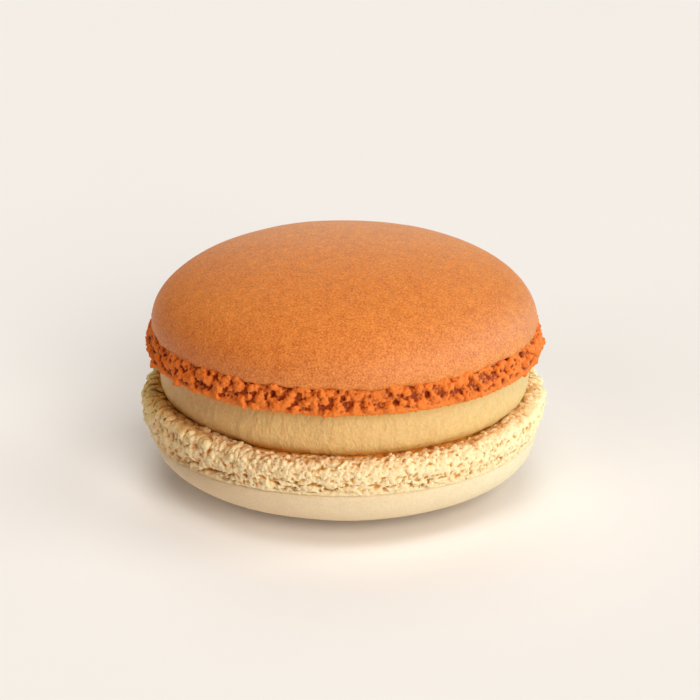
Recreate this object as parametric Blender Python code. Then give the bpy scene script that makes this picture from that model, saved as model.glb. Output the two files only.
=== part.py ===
"""A french macaron: a round filling between two baked almond-meringue shells.

Each shell is one piece, a smooth dome with a ruffled foot round its flat side.
The lower shell lies on its dome, the upper one is turned the other way up.
Lengths are in millimetres up to the scene, which is in metres. The origin is
at the middle of the flat spot that the macaron stands on, and +Z is up.
"""

import math

import bmesh
import bpy

MM = 0.001
SEGMENTS = 80
LAYER_GAP = 0.3

# The shells. A dome's height runs from its flat spot to its widest place, its rim from there to the foot
DOME_RADIUS = 22.0
BASE_RADIUS = 21.5
LOWER_DOME_HEIGHT = 6.5
UPPER_DOME_HEIGHT = 9.1
LOWER_DOME_FULLNESS = 2.2
UPPER_DOME_FULLNESS = 2.1
REST_RADIUS = 7.0
CROWN_RADIUS = 2.0
LOWER_RIM_HEIGHT = 0.4
UPPER_RIM_HEIGHT = 0.8
LOWER_FOOT_RADIUS = 23.0
UPPER_FOOT_RADIUS = 22.7
LOWER_FOOT_HEIGHT = 3.9
UPPER_FOOT_HEIGHT = 2.4
FOOT_RECESS = 0.5

# The filling
FILLING_HEIGHT = 4.9
FILLING_RADIUS = 20.9
FILLING_LOWER_RADIUS = 20.3
FILLING_UPPER_RADIUS = 20.4

# Unevenness: a share of the radius for each number of waves round the rim
OVAL = {2: 0.003, 3: 0.003}
RUFFLES = {9: 0.005, 14: 0.006, 22: 0.006, 31: 0.004}
BULGES = {5: 0.002, 8: 0.002}

LOWER_CREASE = LOWER_DOME_HEIGHT + LOWER_RIM_HEIGHT
LOWER_BASE = LOWER_CREASE + LOWER_FOOT_HEIGHT
UPPER_BASE = LOWER_BASE + FILLING_HEIGHT + 2 * LAYER_GAP
UPPER_CREASE = UPPER_BASE + UPPER_FOOT_HEIGHT
TOP = UPPER_CREASE + UPPER_RIM_HEIGHT + UPPER_DOME_HEIGHT


def dome_curve(height, fullness, flat_radius, steps):
    """Points (radius, height) of a rounded dome pressed flat at its tip, from the flat spot out to the widest place."""
    first = math.asin((flat_radius / DOME_RADIUS) ** (fullness / 2))
    shares = []
    for step in range(steps + 1):
        angle = first + (math.pi / 2 - first) * step / steps
        across = math.sin(angle) ** (2 / fullness)
        along = 1 - max(math.cos(angle), 0) ** (2 / fullness)
        shares.append((across, along))
    pressed = shares[0][1]
    return [(DOME_RADIUS * across, height * (along - pressed) / (1 - pressed)) for across, along in shares]


def shell_profile(dome_height, rim_height, fullness, foot_radius, foot_height, flat_radius):
    """Half section of a shell that lies on its dome, from the middle of the dome up to the middle of its flat side."""
    crease = dome_height + rim_height
    top = crease + foot_height
    points = [(0, 0)]
    points += dome_curve(dome_height, fullness, flat_radius, 10)
    points += [(DOME_RADIUS - 0.1, dome_height + 0.5 * rim_height)]
    points += [(DOME_RADIUS - FOOT_RECESS, crease)]
    points += [(DOME_RADIUS - FOOT_RECESS + 0.1, crease + 0.08 * foot_height)]
    points += [(foot_radius - 0.25, crease + 0.3 * foot_height)]
    points += [(foot_radius, crease + 0.6 * foot_height)]
    points += [(foot_radius - 0.2, crease + 0.8 * foot_height)]
    points += [(foot_radius - 0.7, crease + 0.94 * foot_height)]
    points += [(BASE_RADIUS, top), (0, top)]
    return points


def filling_profile():
    """Half section of the filling, whose side bulges out between the two shells."""
    low = LOWER_BASE + LAYER_GAP
    high = low + FILLING_HEIGHT
    points = [(0, low), (FILLING_LOWER_RADIUS, low)]
    steps = 8
    for step in range(1, steps):
        share = step / steps
        between = FILLING_LOWER_RADIUS + (FILLING_UPPER_RADIUS - FILLING_LOWER_RADIUS) * share
        bulge = FILLING_RADIUS - 0.5 * (FILLING_LOWER_RADIUS + FILLING_UPPER_RADIUS)
        points.append((between + bulge * math.sin(math.pi * share) ** 0.7, low + FILLING_HEIGHT * share))
    points += [(FILLING_UPPER_RADIUS, high), (0, high)]
    return points


def spun_solid(name, profile, material):
    """One closed solid, the half section turned round the Z axis."""
    mesh = bpy.data.meshes.new(name)
    shape = bmesh.new()
    corners = [shape.verts.new((radius * MM, 0, height * MM)) for radius, height in profile]
    edges = [shape.edges.new(pair) for pair in zip(corners, corners[1:])]
    bmesh.ops.spin(
        shape,
        geom=corners + edges,
        cent=(0, 0, 0),
        axis=(0, 0, 1),
        dvec=(0, 0, 0),
        angle=2 * math.pi,
        steps=SEGMENTS,
        use_merge=True,
    )
    bmesh.ops.remove_doubles(shape, verts=shape.verts, dist=0.00001)
    bmesh.ops.recalc_face_normals(shape, faces=shape.faces)
    shape.to_mesh(mesh)
    shape.free()
    mesh.materials.append(material)
    mesh.shade_smooth()
    mesh.set_sharp_from_angle(angle=math.radians(50))
    solid = bpy.data.objects.new(name, mesh)
    bpy.context.scene.collection.objects.link(solid)
    return solid


def waves(shares, angle, turn):
    """Sum of waves round the rim, turned on by a different amount for each number of waves."""
    return sum(share * math.sin(count * angle + turn * count) for count, share in shares.items())


def make_uneven(solid, shares, low, high, turn):
    """Moves the side in and out between two heights, most of all halfway up. The axis and flat faces stay put."""
    for vertex in solid.data.vertices:
        radius = math.hypot(vertex.co.x, vertex.co.y)
        height = vertex.co.z / MM
        if radius < REST_RADIUS * MM or not low <= height <= high:
            continue
        weight = math.sin(math.pi * (height - low) / (high - low))
        angle = math.atan2(vertex.co.y, vertex.co.x)
        factor = 1 + weight * waves(shares, angle, turn)
        vertex.co.x *= factor
        vertex.co.y *= factor


def turn_over(profile, height):
    """The same half section the other way up, with its flat side at height."""
    top = profile[-1][1]
    return [(radius, height + top - z) for radius, z in profile]


def baked_or_cream(name, colour, roughness):
    """Material of one layer."""
    material = bpy.data.materials.new(name)
    material.use_nodes = True
    surface = material.node_tree.nodes["Principled BSDF"]
    surface.inputs["Base Color"].default_value = (*colour, 1)
    surface.inputs["Roughness"].default_value = roughness
    return material


def make_lower_shell():
    material = baked_or_cream("ivory_shell", (0.80, 0.62, 0.34), 0.8)
    profile = shell_profile(
        LOWER_DOME_HEIGHT,
        LOWER_RIM_HEIGHT,
        LOWER_DOME_FULLNESS,
        LOWER_FOOT_RADIUS,
        LOWER_FOOT_HEIGHT,
        REST_RADIUS,
    )
    solid = spun_solid("lower_shell", profile, material)
    make_uneven(solid, RUFFLES, LOWER_CREASE, LOWER_BASE, 0.0)
    make_uneven(solid, OVAL, 0, LOWER_BASE, 0.4)


def make_filling():
    material = baked_or_cream("caramel_cream", (0.72, 0.45, 0.16), 0.5)
    solid = spun_solid("filling", filling_profile(), material)
    low = LOWER_BASE + LAYER_GAP
    make_uneven(solid, BULGES, low, low + FILLING_HEIGHT, 0.7)


def make_upper_shell():
    material = baked_or_cream("orange_shell", (0.72, 0.22, 0.035), 0.6)
    profile = shell_profile(
        UPPER_DOME_HEIGHT,
        UPPER_RIM_HEIGHT,
        UPPER_DOME_FULLNESS,
        UPPER_FOOT_RADIUS,
        UPPER_FOOT_HEIGHT,
        CROWN_RADIUS,
    )
    solid = spun_solid("upper_shell", turn_over(profile, UPPER_BASE), material)
    make_uneven(solid, RUFFLES, UPPER_BASE, UPPER_CREASE, 1.3)
    make_uneven(solid, OVAL, UPPER_BASE, TOP, 1.1)


def main():
    for leftover in list(bpy.data.objects):
        bpy.data.objects.remove(leftover)
    make_lower_shell()
    make_filling()
    make_upper_shell()


main()
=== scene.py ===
"""The looks of a french macaron: its crumbly feet, smooth domes, filling and baked skin.

They stand in the frame of the solids.
Lengths are in millimetres up to the objects, which are in metres. +Z is up, and the origin is at the middle of
the spot that the macaron stands on.
"""

import math

import bpy
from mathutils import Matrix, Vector


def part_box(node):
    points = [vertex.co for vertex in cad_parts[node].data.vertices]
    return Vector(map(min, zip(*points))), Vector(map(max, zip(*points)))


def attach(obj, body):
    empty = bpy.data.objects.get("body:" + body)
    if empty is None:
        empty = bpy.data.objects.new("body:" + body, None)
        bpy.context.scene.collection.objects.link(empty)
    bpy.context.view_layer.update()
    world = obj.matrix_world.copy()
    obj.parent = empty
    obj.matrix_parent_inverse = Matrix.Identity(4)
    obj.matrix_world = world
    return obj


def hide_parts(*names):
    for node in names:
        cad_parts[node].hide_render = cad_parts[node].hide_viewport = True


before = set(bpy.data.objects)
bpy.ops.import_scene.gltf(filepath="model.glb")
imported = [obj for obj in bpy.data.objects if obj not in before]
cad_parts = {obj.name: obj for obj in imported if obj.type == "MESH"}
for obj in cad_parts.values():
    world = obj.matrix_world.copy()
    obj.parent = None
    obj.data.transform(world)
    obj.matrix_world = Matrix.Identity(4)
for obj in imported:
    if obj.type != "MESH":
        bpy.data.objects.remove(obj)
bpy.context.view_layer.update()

bl_info = {
    "name": "French macaron",
    "version": (1, 0, 0),
    "blender": (4, 5, 0),
    "location": "View3D > Sidebar > Macaron",
    "description": "Models a filled macaron with crumbly feet, in pieces that can be coloured and resized",
    "category": "Object",
}

MM = 0.001
BODY = "root"


def heights(node):
    """Lowest and highest height of a solid, in millimetres."""
    low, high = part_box(node)
    return low.z / MM, high.z / MM


LOWER_TOP = heights("lower_shell")[1]
UPPER_BOTTOM, UPPER_TOP = heights("upper_shell")

# Round bodies. A fullness of 2 gives an ellipse, and more gives a squarer dome
ROUND_STEPS = 288
DOME_STEPS = 64
UPPER_FULLNESS = 2.1
LOWER_FULLNESS = 2.25
SMOOTH_ANGLE = math.radians(180)

# The filling runs from inside the baked skin to inside the upper foot, and it is widest at BELLY
FILLING_STEPS = 48
FILLING_SUNK = 0.3
FILLING_RISEN = 0.5
BELLY = 0.42
TUCKED_RADIUS = 19.3
BELLY_RADIUS = 20.95
BELLY_CURVE = 2.5
TOP_TUCK = 0.4

# The baked skin, a thin ring
SKIN_INNER = 19.0
SKIN_OUTER = 21.6
SKIN_DEPTH = 0.8
SKIN_STEPS = 16
SKIN_STEP = 0.15

PALE_SPECK = (0.95, 0.7, 0.4)
SCATTER_RADIUS = (1.0, 0.4, 0.15)

# The camera, and how much of the floor's width it sees at the macaron
CAMERA_DISTANCE = 0.34
CAMERA_ELEVATION = math.radians(20.28)
CAMERA_AIM = Vector((0.594, 0, 15.64)) * MM
VIEW_WIDTH = 79.703 * MM
SENSOR_WIDTH = 36

FLOOR_SIZE = 4
WORLD_COLOUR = (1.0, 0.98, 0.95, 1)
WORLD_STRENGTH = 0.08
SOFTNESS = math.radians(32)

# Lights: name, degrees to the right of the front, elevation, and red, green and blue strength
MACARON_LIGHTS = (
    ("key", 45, 15, (1.62, 2.32, 2.5)),
    ("right_rim", 112, 15, (0.43, 1.15, 1.60)),
    ("back", 180, 15, (0.31, 0.38, 0.30)),
    ("front_fill", 25, 45, (1.20, 0.62, 0.33)),
    ("back_left", 225, 45, (0.86, 0.88, 0.35)),
    ("top", 90, 70, (0.87, 0.62, 0.28)),
)
FLOOR_LIGHTS = (
    ("floor_front", 20, 26, (2.2, 2.2, 2.2)),
    ("floor_front_left", 320, 26, (0.5, 0.5, 0.5)),
    ("floor_right", 85, 48, (0.7, 0.7, 0.7)),
    ("floor_top", 0, 68, (1.1, 1.1, 1.1)),
    ("floor_back", 180, 50, (0.45, 0.45, 0.45)),
)


# ---------------------------------------------------------------- sizes and colours that a user may change


def length(name, default, description):
    """A length in millimetres."""
    return bpy.props.FloatProperty(name=name, default=default, description=description, precision=2)


def colour(name, default, description):
    """A linear colour."""
    return bpy.props.FloatVectorProperty(
        name=name, default=default, description=description, subtype="COLOR", size=3, min=0, max=1
    )


class MacaronSizes(bpy.types.PropertyGroup):
    """Sizes of the macaron, in millimetres."""

    dome_radius: length("Dome radius", 21.9, "Widest radius of both smooth domes")
    upper_dome_height: length("Upper dome height", 9.0, "From the widest place of the upper dome to its top")
    upper_rim: length("Upper rim height", 19.05, "Height at which the upper dome meets its foot")
    upper_foot_radius: length("Upper foot radius", 22.75, "Outside of the crumb of the upper foot")
    lower_crease: length("Lower crease height", 6.9, "Height at which the lower dome meets its foot")
    lower_foot_radius: length("Lower foot radius", 22.9, "Outside of the crumb of the lower foot")
    upper_crumb: length("Upper crumb detail", 0.15, "Size of the finest facets in the upper foot")
    lower_crumb: length("Lower crumb detail", 0.16, "Size of the finest facets in the lower foot")


class MacaronColours(bpy.types.PropertyGroup):
    """Colours of the macaron, as linear values."""

    orange: colour("Orange shell", (0.79, 0.216, 0.031), "Smooth skin of the upper dome")
    orange_crumb: colour("Orange crumb", (0.78, 0.19, 0.026), "Crumb of the upper foot")
    # Partly painted shade: the pit colour is the baked colour of the hollows, darkened for the shade that falls in
    # them.
    orange_pit: colour("Orange pits", (0.28, 0.035, 0.003), "Hollows in the upper foot")
    ivory: colour("Ivory shell", (0.81, 0.61, 0.385), "Smooth skin of the lower dome")
    ivory_crumb: colour("Ivory crumb", (0.90, 0.70, 0.41), "Crumb of the lower foot")
    # Partly painted shade, like the orange pits: the pores' baked colour, darkened for the shade in them.
    ivory_pore: colour("Ivory pores", (0.60, 0.235, 0.028), "Pores in the lower foot")
    baked_skin: colour("Baked skin", (0.90, 0.38, 0.055), "Browned flat side of the lower shell")
    cream: colour("Cream", (0.76, 0.46, 0.175), "The filling")
    floor: colour("Floor", (0.87, 0.82, 0.76), "The pale surface")


# ---------------------------------------------------------------- node trees written as expressions


class Signal:
    """A node's socket that Python's arithmetic works on. Each operation adds a Math node."""

    def __init__(self, graph, socket):
        self.graph = graph
        self.socket = socket

    def math(self, operation, *values):
        """The result of a Math node."""
        inputs = dict(enumerate(values))
        return self.graph.add("ShaderNodeMath", {"operation": operation}, inputs)

    def output(self, name):
        """Another output of the same node."""
        return Signal(self.graph, self.socket.node.outputs[name])

    def __add__(self, other):
        return self.math("ADD", self, other)

    def __sub__(self, other):
        return self.math("SUBTRACT", self, other)

    def __rsub__(self, other):
        return self.math("SUBTRACT", other, self)

    def __mul__(self, other):
        return self.math("MULTIPLY", self, other)

    def __truediv__(self, other):
        return self.math("DIVIDE", self, other)

    def __abs__(self):
        return self.math("ABSOLUTE", self)

    __radd__ = __add__
    __rmul__ = __mul__

    def step(self, low, high):
        """0 below low, 1 above high and smooth between; low may be the larger of the two."""
        return self.graph.add(
            "ShaderNodeMapRange",
            {"interpolation_type": "SMOOTHSTEP"},
            {"Value": self, "From Min": low, "From Max": high},
        )


class Graph:
    """Adds nodes to a shader or geometry tree."""

    def __init__(self, tree):
        self.tree = tree

    def add(self, kind, settings=None, inputs=None, output=0):
        """A new node: its settings first, then the values or links of its sockets."""
        node = self.tree.nodes.new(kind)
        for name, value in (settings or {}).items():
            setattr(node, name, value)
        for key, value in (inputs or {}).items():
            if isinstance(value, Signal):
                self.tree.links.new(value.socket, node.inputs[key])
            else:
                node.inputs[key].default_value = value
        return Signal(self, node.outputs[output])

    def scaled(self, vector, factors):
        """A vector times three factors."""
        return self.add("ShaderNodeVectorMath", {"operation": "MULTIPLY"}, {0: vector, 1: factors})

    def height(self, vector):
        """The height of a place, in millimetres."""
        return self.add("ShaderNodeSeparateXYZ", {}, {0: vector}, output="Z") / MM

    def reach(self, vector):
        """The distance of a place from the upright axis, in millimetres."""
        flat = self.scaled(vector, (1, 1, 0))
        return self.add("ShaderNodeVectorMath", {"operation": "LENGTH"}, {0: flat}, output="Value") / MM

    def rightward(self, vector):
        """How far right of the axis a place is, in millimetres."""
        return self.add("ShaderNodeSeparateXYZ", {}, {0: vector}, output="X") / MM

    def noise(self, vector, size, detail=2.0, roughness=0.5):
        """Noise from 0 to 1 whose lumps are about size millimetres across."""
        return self.add(
            "ShaderNodeTexNoise",
            {},
            {"Vector": vector, "Scale": 1 / (size * MM), "Detail": detail, "Roughness": roughness},
        )

    def cells(self, vector, size):
        """Distance to the nearest of scattered points that are about size millimetres apart."""
        return self.add("ShaderNodeTexVoronoi", {}, {"Vector": vector, "Scale": 1 / (size * MM)})

    def bubbles(self, vector, size, widest):
        """1 in the middle of open bubbles, 0 outside. Their radius goes up to widest times the spacing."""
        near = self.cells(vector, size)
        chance = self.add("ShaderNodeSeparateXYZ", {}, {0: near.output("Color")})
        return (near / (chance * widest + 0.01)).step(1.0, 0.3)

    def mix(self, factor, first, second):
        """A colour between two colours."""
        return self.add(
            "ShaderNodeMix",
            {"data_type": "RGBA"},
            {0: factor, 6: opaque(first), 7: opaque(second)},
            output=2,
        )


def opaque(value):
    """A colour with its alpha, or a signal as it is."""
    return value if isinstance(value, Signal) else (*value, 1.0)


def tinted(shade, factor):
    """A colour made lighter or darker."""
    return tuple(channel * factor for channel in shade)


# ---------------------------------------------------------------- modelling


def deselect():
    """Leaves no object selected."""
    bpy.ops.object.select_all(action="DESELECT")


def pick(piece):
    """Selects one object and makes it active."""
    deselect()
    piece.select_set(True)
    bpy.context.view_layer.objects.active = piece


def turned(name, points, ring=False):
    """A round body: a circle at the first point (radius, height), extruded and resized through the others."""
    deselect()
    radius, height = points[0]
    bpy.ops.mesh.primitive_circle_add(vertices=ROUND_STEPS, radius=radius * MM, enter_editmode=True)
    piece = bpy.context.object
    piece.name = name
    piece.data.name = name
    bpy.ops.transform.translate(value=(0, 0, height * MM))
    for next_radius, next_height in points[1:]:
        rise = (0, 0, (next_height - height) * MM)
        bpy.ops.mesh.extrude_region_move(TRANSFORM_OT_translate={"value": rise})
        growth = next_radius / radius
        bpy.ops.transform.resize(value=(growth, growth, 1), center_override=(0, 0, 0))
        radius, height = next_radius, next_height
    bpy.ops.mesh.select_all(action="DESELECT")
    bpy.ops.mesh.select_non_manifold()
    if ring:
        bpy.ops.mesh.bridge_edge_loops()
    else:
        bpy.ops.mesh.edge_face_add()
        bpy.ops.mesh.select_all(action="DESELECT")
        bpy.ops.mesh.select_non_manifold()
        if piece.data.total_edge_sel:
            bpy.ops.mesh.edge_face_add()
    bpy.ops.mesh.select_all(action="SELECT")
    bpy.ops.mesh.remove_doubles(threshold=0.001 * MM)
    bpy.ops.mesh.normals_make_consistent(inside=False)
    bpy.ops.object.mode_set(mode="OBJECT")
    put_in_order(piece.data)
    return piece


def put_in_order(mesh):
    """Gives the faces one fixed order. Extrude leaves a new order each run, and scattering goes by it."""
    places = [vertex.co.copy() for vertex in mesh.vertices]
    faces = []
    for face in mesh.polygons:
        corners = list(face.vertices)
        first = corners.index(min(corners))
        faces.append(corners[first:] + corners[:first])
    mesh.clear_geometry()
    mesh.from_pydata(places, [], sorted(faces))


def apply(piece, kind, **settings):
    """Adds a modifier, sets it and applies it."""
    pick(piece)
    modifier = piece.modifiers.new(kind.lower(), kind)
    for name, value in settings.items():
        setattr(modifier, name, value)
    bpy.ops.object.modifier_apply(modifier=modifier.name)


def grown(piece, name, build):
    """Runs a geometry tree on a piece and applies it.

    build gets the graph and the geometry, and returns the new geometry.
    """
    tree = bpy.data.node_groups.new(name, "GeometryNodeTree")
    tree.interface.new_socket("Geometry", in_out="INPUT", socket_type="NodeSocketGeometry")
    tree.interface.new_socket("Geometry", in_out="OUTPUT", socket_type="NodeSocketGeometry")
    graph = Graph(tree)
    result = build(graph, graph.add("NodeGroupInput"))
    outcome = tree.nodes.new("NodeGroupOutput")
    tree.links.new(result.socket, outcome.inputs[0])
    apply(piece, "NODES", node_group=tree)
    bpy.data.node_groups.remove(tree)


def scattered(piece, lump, per_mm2, sizes, seed, where):
    """Puts copies of a lump on a piece, turned every way, and joins them.

    where(graph, position) thins them out.
    """

    def build(graph, surface):
        share = where(graph, graph.add("GeometryNodeInputPosition"))
        points = graph.add(
            "GeometryNodeDistributePointsOnFaces",
            {},
            {"Mesh": surface, "Density": share * (per_mm2 / MM**2), "Seed": seed},
        )
        copy = graph.add("GeometryNodeObjectInfo", {}, {"Object": lump}, output="Geometry")
        turn = graph.add(
            "FunctionNodeRandomValue",
            {"data_type": "FLOAT_VECTOR"},
            {0: (0, 0, 0), 1: (math.tau, math.tau, math.tau), "Seed": seed + 1},
        )
        size = graph.add(
            "FunctionNodeRandomValue",
            {"data_type": "FLOAT_VECTOR"},
            {0: (sizes[0],) * 3, 1: (sizes[1],) * 3, "Seed": seed + 2},
        )
        copies = graph.add(
            "GeometryNodeInstanceOnPoints",
            {},
            {"Points": points, "Instance": copy, "Rotation": turn, "Scale": size},
        )
        meshes = graph.add("GeometryNodeRealizeInstances", {}, {0: copies})
        joined = graph.add("GeometryNodeJoinGeometry")
        for part in (surface, meshes):
            graph.tree.links.new(part.socket, joined.socket.node.inputs[0])
        return joined

    grown(piece, "scatter", build)


def roughened(piece, relief, blur):
    """Moves the surface along its normals by relief(graph, position) millimetres and stores how hollow it is."""

    def build(graph, surface):
        position = graph.add("GeometryNodeInputPosition")
        normal = graph.add("GeometryNodeInputNormal")
        height = relief(graph, position) * MM
        offset = graph.add("ShaderNodeVectorMath", {"operation": "SCALE"}, {0: normal, "Scale": height})
        moved = graph.add("GeometryNodeSetPosition", {}, {"Geometry": surface, "Offset": offset})
        blurred = graph.add(
            "GeometryNodeBlurAttribute", {"data_type": "FLOAT_VECTOR"}, {"Value": position, "Iterations": blur}
        )
        gap = graph.add("ShaderNodeVectorMath", {"operation": "SUBTRACT"}, {0: blurred, 1: position})
        depth = graph.add("ShaderNodeVectorMath", {"operation": "DOT_PRODUCT"}, {0: gap, 1: normal}, output="Value")
        return graph.add(
            "GeometryNodeStoreNamedAttribute",
            {"data_type": "FLOAT", "domain": "POINT"},
            {"Geometry": moved, "Name": "hollow", "Value": depth / MM},
        )

    grown(piece, "roughen", build)


def finished(piece, material, node):
    """Gives a piece its material, shades it, ties it to the body and hides the solid that it stands for."""
    pick(piece)
    piece.data.materials.clear()
    piece.data.materials.append(material)
    bpy.ops.object.shade_smooth_by_angle(angle=SMOOTH_ANGLE)
    deselect()
    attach(piece, BODY)
    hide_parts(node)


def lump_shape():
    """A small irregular crumb one millimetre in radius, which is copied by the hundred."""
    deselect()
    bpy.ops.mesh.primitive_ico_sphere_add(subdivisions=2, radius=MM)
    lump = bpy.context.object
    lump.name = "crumb_pattern"
    texture = bpy.data.textures.new("crumb_dents", "CLOUDS")
    texture.noise_scale = 0.9 * MM
    apply(lump, "DISPLACE", texture=texture, strength=0.7 * MM, mid_level=0.5, texture_coords="LOCAL")
    return lump


# ---------------------------------------------------------------- materials


def new_material(name, roughness, subsurface=0.0):
    """A plain material. Returns it, its graph and its surface node."""
    material = bpy.data.materials.new(name)
    material.use_nodes = True
    surface = material.node_tree.nodes["Principled BSDF"]
    surface.inputs["Roughness"].default_value = roughness
    surface.inputs["Subsurface Weight"].default_value = subsurface
    surface.inputs["Subsurface Radius"].default_value = SCATTER_RADIUS
    surface.inputs["Subsurface Scale"].default_value = MM
    return material, Graph(material.node_tree), surface


def link(graph, surface, name, signal):
    """Feeds a socket of the surface."""
    graph.tree.links.new(signal.socket, surface.inputs[name])


def bumped(graph, surface, height, depth):
    """Relief in the shading, with height from 0 to 1 and depth in millimetres."""
    bump = graph.add("ShaderNodeBump", {}, {"Height": height, "Distance": depth * MM, "Strength": 1.0})
    link(graph, surface, "Normal", bump)


def object_place(graph):
    """The place on the piece, in metres."""
    return graph.add("ShaderNodeTexCoord", output="Object")


def dome_material(name, shade, roughness, contrast):
    """Smooth baked skin with fine almond grain."""
    material, graph, surface = new_material(name, roughness, subsurface=0.05)
    surface.inputs["Specular IOR Level"].default_value = 0.4
    place = object_place(graph)
    grain = graph.noise(place, 0.22, detail=4, roughness=0.75)
    mottle = graph.noise(place, 1.1, detail=3)
    broad = graph.noise(place, 5.0, detail=2)
    tone = grain.step(0.25, 0.75) * 0.75 + mottle.step(0.25, 0.75) * 0.18 + broad * 0.07
    dark = tuple(channel ** (1 + contrast) * (1 - contrast) for channel in shade)
    light = tuple(channel ** (1 - 0.5 * contrast) * (1 + 0.5 * contrast) for channel in shade)
    skin = graph.mix(tone, dark, light)
    skin = graph.mix(graph.bubbles(place, 0.5, 0.22) * contrast, skin, tinted(shade, 0.4))
    skin = graph.mix(graph.bubbles(place, 0.6, 0.2) * contrast, skin, PALE_SPECK)
    link(graph, surface, "Base Color", skin)
    link(graph, surface, "Roughness", roughness + 0.15 * mottle)
    bumped(graph, surface, grain * 0.8 + mottle * 0.2, 0.09)
    return material


def crumb_material(name, crumb, pit, shallow, deep, pores, browning_and_left_shade=0.0):
    """Baked crumb, browner towards the filling, whose hollows between the depths shallow and deep take the darker
    pit colour: partly baked colour and partly painted shade.

    pores is how wide the pores get beside their spacing. The last argument is how brown the inner crumb gets: real
    browning towards the filling, and painted shade and shadow on the inner crumb at the left side.
    """
    material, graph, surface = new_material(name, 0.6, subsurface=0.1)
    surface.inputs["Specular IOR Level"].default_value = 0.2
    place = object_place(graph)
    hollow = graph.add("ShaderNodeAttribute", {"attribute_name": "hollow"}, output="Fac")
    grain = graph.noise(place, 0.26, detail=2, roughness=0.6)
    beads = graph.cells(place, 0.24)
    patch = graph.noise(graph.scaled(place, (1, 1, 1.8)), 1.8, detail=3)
    fine_pores = graph.bubbles(place, 0.9, pores)
    # Partly painted shade: the deeper a place lies in a hollow, the more it takes the pit colour, which holds both
    # the baked colour of the hollows and the shade in them.
    in_pit = (hollow + (grain - 0.5) * 0.1).step(shallow, deep)
    between = tuple(0.6 * c + 0.4 * p for c, p in zip(crumb, pit))
    # Painted shade: 1 on the left side of the piece, which lies in shade, and 0 on the right.
    left = graph.rightward(place).step(-8.0, -20.0)
    inward = graph.reach(place).step(22.8, 21.0) * browning_and_left_shade
    light = graph.mix(patch.step(0.45, 0.7) * 0.3, tinted(crumb, 1.05), between)
    # Browner towards the filling. The extra brown on the left side is painted shade.
    light = graph.mix(inward * (0.2 + 0.6 * patch + 0.4 * left), light, between)
    # Painted shadow: the inner crumb on the left side turns to a darkened pit colour.
    painted_shadow_left = graph.reach(place).step(23.1, 21.5) * left * browning_and_left_shade
    light = graph.mix(painted_shadow_left * 0.75, light, tinted(pit, 0.75))
    light = graph.mix(grain.step(0.55, 0.25) * 0.35, light, between)
    light = graph.mix(fine_pores * 0.7, light, pit)
    link(graph, surface, "Base Color", graph.mix(in_pit, light, pit))
    link(graph, surface, "Roughness", 0.5 + 0.25 * grain)
    bumped(graph, surface, grain * 0.5 - beads * 0.5 - fine_pores, 0.13)
    return material


def cream_material(name, shade, low, high):
    """Dense cream with upright streaks, and painted shade that makes it darker and more saturated where it meets
    the shells at heights low and high.
    """
    material, graph, surface = new_material(name, 0.45, subsurface=0.3)
    surface.inputs["Specular IOR Level"].default_value = 0.3
    place = object_place(graph)
    upright = graph.scaled(place, (1, 1, 0.45))
    streak = graph.noise(upright, 0.8, detail=4, roughness=0.6)
    fine = graph.noise(place, 0.35, detail=3, roughness=0.6)
    height = graph.height(place)
    # Painted shade: 1 near the heights low and high, where the cream meets the shells, and the darker, more
    # saturated colour below is mixed in there.
    edge_shade_mask = height.step(low + 1.4, low) + height.step(high - 1.6, high)
    tone = streak.step(0.3, 0.7) * 0.3 + fine.step(0.3, 0.7) * 0.7
    middle = graph.mix(tone, tinted(shade, 0.9), tinted(shade, 1.08))
    painted_edge_shade = (shade[0] * 0.98, shade[1] * 0.84, shade[2] * 0.48)
    link(graph, surface, "Base Color", graph.mix(edge_shade_mask, middle, painted_edge_shade))
    link(graph, surface, "Roughness", 0.42 + 0.15 * fine)
    bumped(graph, surface, streak * 0.8 + fine * 0.2, 0.4)
    return material


def floor_material(shade):
    """Plain pale card."""
    material, graph, surface = new_material("pale_card", 0.9)
    place = object_place(graph)
    tone = graph.noise(place, 30.0, detail=2)
    link(graph, surface, "Base Color", graph.mix(tone, tinted(shade, 0.99), tinted(shade, 1.01)))
    return material


# ---------------------------------------------------------------- pieces


def dome_points(radius, height, fullness, steps):
    """Quarter of a rounded dome, from its widest place to its top, as (radius, height above the widest place)."""
    points = []
    for step in range(steps + 1):
        angle = math.pi / 2 * step / steps
        across = max(math.cos(angle), 0.0) ** (2 / fullness)
        points.append((max(radius * across, 0.02), height * math.sin(angle) ** (2 / fullness)))
    return points


class MACARON_OT_upper_dome(bpy.types.Operator):
    """The smooth orange dome on top."""

    bl_idname = "macaron.upper_dome"
    bl_label = "Upper dome"

    def execute(self, context):
        sizes = context.scene.macaron_sizes
        colours = context.scene.macaron_colours
        widest = UPPER_TOP - sizes.upper_dome_height - 0.05
        curve = dome_points(sizes.dome_radius, sizes.upper_dome_height, UPPER_FULLNESS, DOME_STEPS)
        rim = sizes.upper_rim
        radius = sizes.dome_radius
        points = [(radius - 1.5, rim + 0.15), (radius - 0.8, rim), (radius - 0.3, rim + 0.02)]
        points += [(radius - 0.12, rim + 0.15), (radius - 0.03, rim + 0.35)]
        points += [(across, widest + height) for across, height in curve]
        dome = turned("upper_dome", points)

        def relief(graph, position):
            by_rim = graph.height(position).step(rim + 0.9, rim + 0.1)
            swells = (graph.noise(position, 14.0, 1) - 0.5) * 0.4
            notches = (graph.noise(position, 1.1, 2) - 0.5) * by_rim
            return swells + (graph.noise(position, 3.0, 2) - 0.5) * 0.06 + notches * 0.8

        roughened(dome, relief, 4)
        material = dome_material("orange_skin", tuple(colours.orange), 0.40, 0.4)
        finished(dome, material, "upper_shell")
        return {"FINISHED"}


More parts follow.
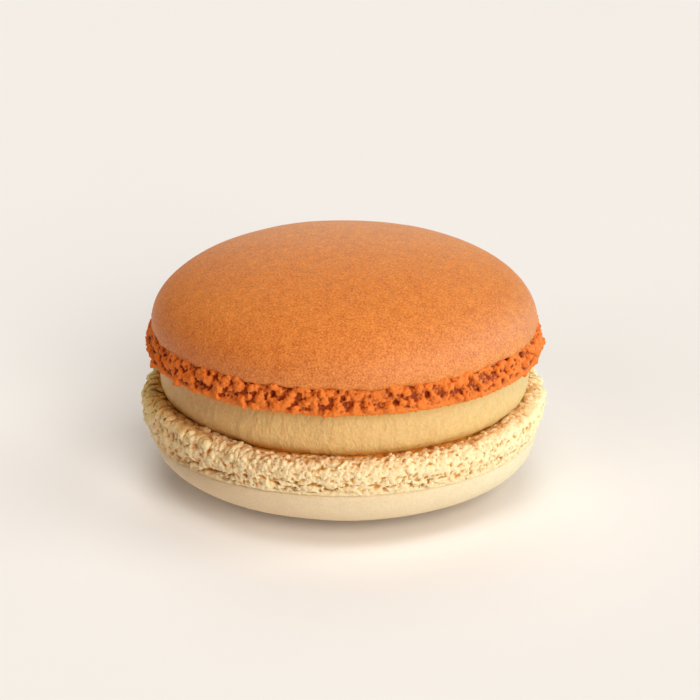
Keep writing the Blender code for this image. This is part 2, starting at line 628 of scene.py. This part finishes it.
class MACARON_OT_upper_foot(bpy.types.Operator):
    """The crumbly foot under the orange dome."""

    bl_idname = "macaron.upper_foot"
    bl_label = "Upper foot"

    def execute(self, context):
        sizes = context.scene.macaron_sizes
        colours = context.scene.macaron_colours
        low = UPPER_BOTTOM
        high = sizes.upper_rim
        radius = sizes.upper_foot_radius
        points = [(radius - 2.1, low + 0.3), (radius - 1.2, low), (radius - 0.6, low)]
        points += [(radius - 0.4, low + 0.3), (radius - 0.6, low + 0.7), (radius - 0.75, low + 1.3)]
        points += [(radius - 0.95, low + 2.1), (radius - 1.3, high + 0.15), (radius - 2.1, high + 0.3)]
        foot = turned("upper_foot", points, ring=True)
        lump = lump_shape()

        def outside(graph, position):
            outer = graph.reach(position).step(radius - 1.8, radius - 1.6)
            return outer * graph.height(position).step(low + 0.35, low + 0.7)

        scattered(foot, lump, 1.2, (0.32, 0.7), 3, outside)
        bpy.data.objects.remove(lump)
        apply(foot, "REMESH", mode="VOXEL", voxel_size=sizes.upper_crumb * MM)

        def relief(graph, position):
            grain = graph.cells(position, 0.32)
            holes = graph.bubbles(position, 1.5, 0.42)
            small_holes = graph.bubbles(position, 0.7, 0.42)
            rough = graph.noise(position, 0.5, 3) - 0.5
            height = graph.height(position)
            above_lip = height.step(low + 0.3, low + 0.9)
            pits = holes * height.step(low + 0.5, low + 1.3) * 0.7 + small_holes * above_lip * 0.25
            return 0.14 - pits - 0.24 * grain + rough * 0.3

        roughened(foot, relief, 36)
        material = crumb_material(
            "orange_crumb", tuple(colours.orange_crumb), tuple(colours.orange_pit), -0.04, 0.14, 0.16
        )
        finished(foot, material, "upper_shell")
        return {"FINISHED"}


class MACARON_OT_filling(bpy.types.Operator):
    """The caramel cream between the shells."""

    bl_idname = "macaron.filling"
    bl_label = "Filling"

    def execute(self, context):
        colours = context.scene.macaron_colours
        low = LOWER_TOP - FILLING_SUNK
        high = UPPER_BOTTOM + FILLING_RISEN
        points = []
        for step in range(FILLING_STEPS + 1):
            share = step / FILLING_STEPS
            if share < BELLY:
                below = 1 - share / BELLY
                radius = TUCKED_RADIUS + (BELLY_RADIUS - TUCKED_RADIUS) * (1 - below**BELLY_CURVE)
            else:
                above = (share - BELLY) / (1 - BELLY)
                radius = BELLY_RADIUS - TOP_TUCK * above**2
            points.append((radius, low + (high - low) * share))
        filling = turned("filling_cream", points)

        def relief(graph, position):
            upright = graph.scaled(position, (1, 1, 0.3))
            side = graph.rightward(position)
            wrinkled = side.step(-9.0, -3.0) * graph.noise(position, 4.0, 1).step(0.3, 0.55)
            wrinkles = (graph.noise(upright, 0.8, 3) - 0.5) * 0.32
            waves = (graph.noise(position, 6.0, 1) - 0.5) * 0.5
            return wrinkles * wrinkled + waves + (graph.noise(position, 1.6, 2) - 0.5) * 0.12

        roughened(filling, relief, 4)
        material = cream_material("caramel_cream", tuple(colours.cream), LOWER_TOP, UPPER_BOTTOM)
        finished(filling, material, "filling")
        return {"FINISHED"}


class MACARON_OT_lower_dome(bpy.types.Operator):
    """The smooth ivory dome that the macaron lies on."""

    bl_idname = "macaron.lower_dome"
    bl_label = "Lower dome"

    def execute(self, context):
        sizes = context.scene.macaron_sizes
        colours = context.scene.macaron_colours
        crease = sizes.lower_crease
        widest = crease - 0.4
        curve = dome_points(sizes.dome_radius, widest + 0.12, LOWER_FULLNESS, DOME_STEPS)
        points = [(sizes.dome_radius - 1.4, crease + 0.3), (sizes.dome_radius - 0.35, crease)]
        points += [(sizes.dome_radius - 0.05, crease - 0.2)]
        points += [(radius, widest - height) for radius, height in curve]
        dome = turned("lower_dome", points)

        def relief(graph, position):
            return (graph.noise(position, 12.0, 1) - 0.5) * 0.3

        roughened(dome, relief, 4)
        rested(dome)
        material = dome_material("ivory_skin", tuple(colours.ivory), 0.5, 0.10)
        finished(dome, material, "lower_shell")
        return {"FINISHED"}


def rested(piece):
    """Cuts a piece off flat at the height of the floor."""
    pick(piece)
    bpy.ops.object.mode_set(mode="EDIT")
    bpy.ops.mesh.select_all(action="SELECT")
    bpy.ops.mesh.bisect(plane_co=(0, 0, 0), plane_no=(0, 0, 1), use_fill=True, clear_inner=True)
    bpy.ops.object.mode_set(mode="OBJECT")


class MACARON_OT_lower_foot(bpy.types.Operator):
    """The porous foot of the ivory shell."""

    bl_idname = "macaron.lower_foot"
    bl_label = "Lower foot"

    def execute(self, context):
        sizes = context.scene.macaron_sizes
        colours = context.scene.macaron_colours
        low = sizes.lower_crease
        high = LOWER_TOP
        radius = sizes.lower_foot_radius
        points = [(radius - 3.1, low + 0.3), (radius - 1.4, low - 0.1), (radius - 1.0, low + 0.05)]
        points += [(radius - 0.65, low + 0.8), (radius - 0.3, low + 1.8), (radius - 0.1, low + 2.6)]
        points += [(radius - 0.2, low + 3.3), (radius - 0.6, low + 3.85), (radius - 1.15, low + 4.1)]
        points += [(radius - 2.3, low + 3.95), (radius - 2.8, low + 3.7), (radius - 3.1, low + 2.7)]
        foot = turned("lower_foot", points, ring=True)
        lump = lump_shape()

        def on_top(graph, position):
            outer = graph.reach(position).step(radius - 3.0, radius - 2.8)
            return outer * graph.height(position).step(low + 2.6, low + 3.6)

        scattered(foot, lump, 1.0, (0.15, 0.35), 11, on_top)
        bpy.data.objects.remove(lump)
        apply(foot, "REMESH", mode="VOXEL", voxel_size=sizes.lower_crumb * MM)

        def relief(graph, position):
            left = graph.rightward(position).step(-6.0, -20.0)
            height = graph.height(position)
            ruffles = graph.noise(position, 2.4, 1) - 0.5
            lumps = graph.noise(position, 0.9, 2) - 0.5
            fine = graph.noise(position, 0.36, 3) - 0.5
            beads = graph.cells(position, 0.45)
            pores = graph.bubbles(position, 0.95, 0.26)
            wide_pores = graph.bubbles(position, 2.0, 0.3)
            stretched = graph.scaled(position, (1, 1, 4))
            line = abs(graph.noise(stretched, 3.5, 2) - 0.5).step(0.04, 0.0)
            above_crease = height.step(low + 0.1, low + 0.4) * height.step(low + 1.8, low + 1.0)
            cracks = line * above_crease * graph.noise(position, 5.0, 1).step(0.38, 0.48)
            on_top = height.step(low + 3.2, low + 4.0)
            off_crease = 0.4 + 0.6 * height.step(low, low + 0.8)
            right = graph.rightward(position).step(13.0, 19.0)
            swell = left * (0.3 + 0.5 * on_top) + right * on_top * 0.5 + 0.1
            rough = ruffles * (0.45 + 0.4 * left) + lumps * (0.45 + 0.35 * left) + fine * 0.6 - 0.24 * beads
            return swell + rough * off_crease - 0.2 * pores - 0.25 * wide_pores - 0.5 * cracks

        roughened(foot, relief, 24)
        # The last argument, 1.0, browns the inner crumb and paints shade and shadow on it at the left side.
        material = crumb_material(
            "ivory_crumb", tuple(colours.ivory_crumb), tuple(colours.ivory_pore), -0.05, 0.12, 0.24, 1.0
        )
        finished(foot, material, "lower_shell")
        return {"FINISHED"}


class MACARON_OT_baked_skin(bpy.types.Operator):
    """The browned flat side of the lower shell, which shows beside the filling."""

    bl_idname = "macaron.baked_skin"
    bl_label = "Baked skin"

    def execute(self, context):
        colours = context.scene.macaron_colours
        high = LOWER_TOP - 0.05
        points = [(SKIN_INNER, high - SKIN_DEPTH), (SKIN_OUTER, high - SKIN_DEPTH), (SKIN_OUTER, high - 0.1)]
        points += [(SKIN_OUTER - 0.1 - SKIN_STEP * step, high) for step in range(SKIN_STEPS)]
        skin = turned("baked_skin", points, ring=True)

        def relief(graph, position):
            beads = graph.cells(position, 0.6)
            return (graph.noise(position, 0.7, 3) - 0.5) * 0.4 + 0.1 - 0.3 * beads

        roughened(skin, relief, 4)
        # The hollows of the skin take half its colour: partly its darker cracks and partly painted shade.
        material = crumb_material(
            "baked_tan", tuple(colours.baked_skin), tinted(colours.baked_skin, 0.5), 0.0, 0.1, 0.2
        )
        finished(skin, material, "lower_shell")
        return {"FINISHED"}


class MACARON_OT_stage(bpy.types.Operator):
    """A pale floor, soft light and the camera."""

    bl_idname = "macaron.stage"
    bl_label = "Stage"

    def execute(self, context):
        scene = context.scene
        deselect()
        bpy.ops.mesh.primitive_plane_add(size=FLOOR_SIZE)
        floor = context.object
        floor.name = "floor"
        floor.data.materials.append(floor_material(tuple(scene.macaron_colours.floor)))
        deselect()
        only_floor = bpy.data.collections.new("floor_lights_reach")
        not_floor = bpy.data.collections.new("macaron_lights_reach")
        for reach, state in ((only_floor, "INCLUDE"), (not_floor, "EXCLUDE")):
            reach.objects.link(floor)
            reach.collection_objects[0].light_linking.link_state = state
        for name, turn, elevation, strength in MACARON_LIGHTS:
            self.light_up(name, turn, elevation, strength, not_floor)
        for name, turn, elevation, strength in FLOOR_LIGHTS:
            self.light_up(name, turn, elevation, strength, only_floor)
        world = bpy.data.worlds.new("soft_studio")
        world.use_nodes = True
        background = world.node_tree.nodes["Background"]
        background.inputs["Color"].default_value = WORLD_COLOUR
        background.inputs["Strength"].default_value = WORLD_STRENGTH
        scene.world = world
        scene.view_settings.view_transform = "Standard"
        self.aim_camera(scene)
        return {"FINISHED"}

    def light_up(self, name, turn, elevation, strength, reach):
        """A soft light, turn degrees to the right of the front. strength is red, green and blue."""
        turn = math.radians(turn)
        elevation = math.radians(elevation)
        across = math.cos(elevation)
        toward = Vector((across * math.sin(turn), -across * math.cos(turn), math.sin(elevation)))
        bpy.ops.object.light_add(type="SUN", location=toward, rotation=toward.to_track_quat("Z", "Y").to_euler())
        lamp = bpy.context.object
        lamp.name = name
        lamp.data.angle = SOFTNESS
        lamp.data.energy = max(strength)
        lamp.data.color = tinted(strength, 1 / max(strength))
        lamp.light_linking.receiver_collection = reach

    def aim_camera(self, scene):
        """A long lens that looks down on the macaron."""
        away = Vector((0, -math.cos(CAMERA_ELEVATION), math.sin(CAMERA_ELEVATION)))
        place = CAMERA_AIM + CAMERA_DISTANCE * away
        bpy.ops.object.camera_add(location=place, rotation=(math.pi / 2 - CAMERA_ELEVATION, 0, 0))
        camera = bpy.context.object
        camera.name = "camera"
        camera.data.sensor_width = SENSOR_WIDTH
        camera.data.lens = SENSOR_WIDTH * CAMERA_DISTANCE / VIEW_WIDTH
        camera.data.clip_start = 0.01
        scene.camera = camera


class MACARON_PT_panel(bpy.types.Panel):
    """Buttons for the pieces of the macaron."""

    bl_idname = "MACARON_PT_panel"
    bl_label = "Macaron"
    bl_space_type = "VIEW_3D"
    bl_region_type = "UI"
    bl_category = "Macaron"

    def draw(self, context):
        for group in (context.scene.macaron_sizes, context.scene.macaron_colours):
            for name in group.__annotations__:
                self.layout.prop(group, name)
        for operator in OPERATORS:
            self.layout.operator(operator.bl_idname)


OPERATORS = (
    MACARON_OT_upper_dome,
    MACARON_OT_upper_foot,
    MACARON_OT_filling,
    MACARON_OT_baked_skin,
    MACARON_OT_lower_foot,
    MACARON_OT_lower_dome,
    MACARON_OT_stage,
)
CLASSES = (MacaronSizes, MacaronColours, *OPERATORS, MACARON_PT_panel)


def register():
    for each in CLASSES:
        bpy.utils.register_class(each)
    bpy.types.Scene.macaron_sizes = bpy.props.PointerProperty(type=MacaronSizes)
    bpy.types.Scene.macaron_colours = bpy.props.PointerProperty(type=MacaronColours)


def unregister():
    del bpy.types.Scene.macaron_colours
    del bpy.types.Scene.macaron_sizes
    for each in reversed(CLASSES):
        bpy.utils.unregister_class(each)


def main():
    register()
    bpy.ops.macaron.upper_dome()
    bpy.ops.macaron.upper_foot()
    bpy.ops.macaron.filling()
    bpy.ops.macaron.baked_skin()
    bpy.ops.macaron.lower_foot()
    bpy.ops.macaron.lower_dome()
    bpy.ops.macaron.stage()


if __name__ == "__main__":
    main()
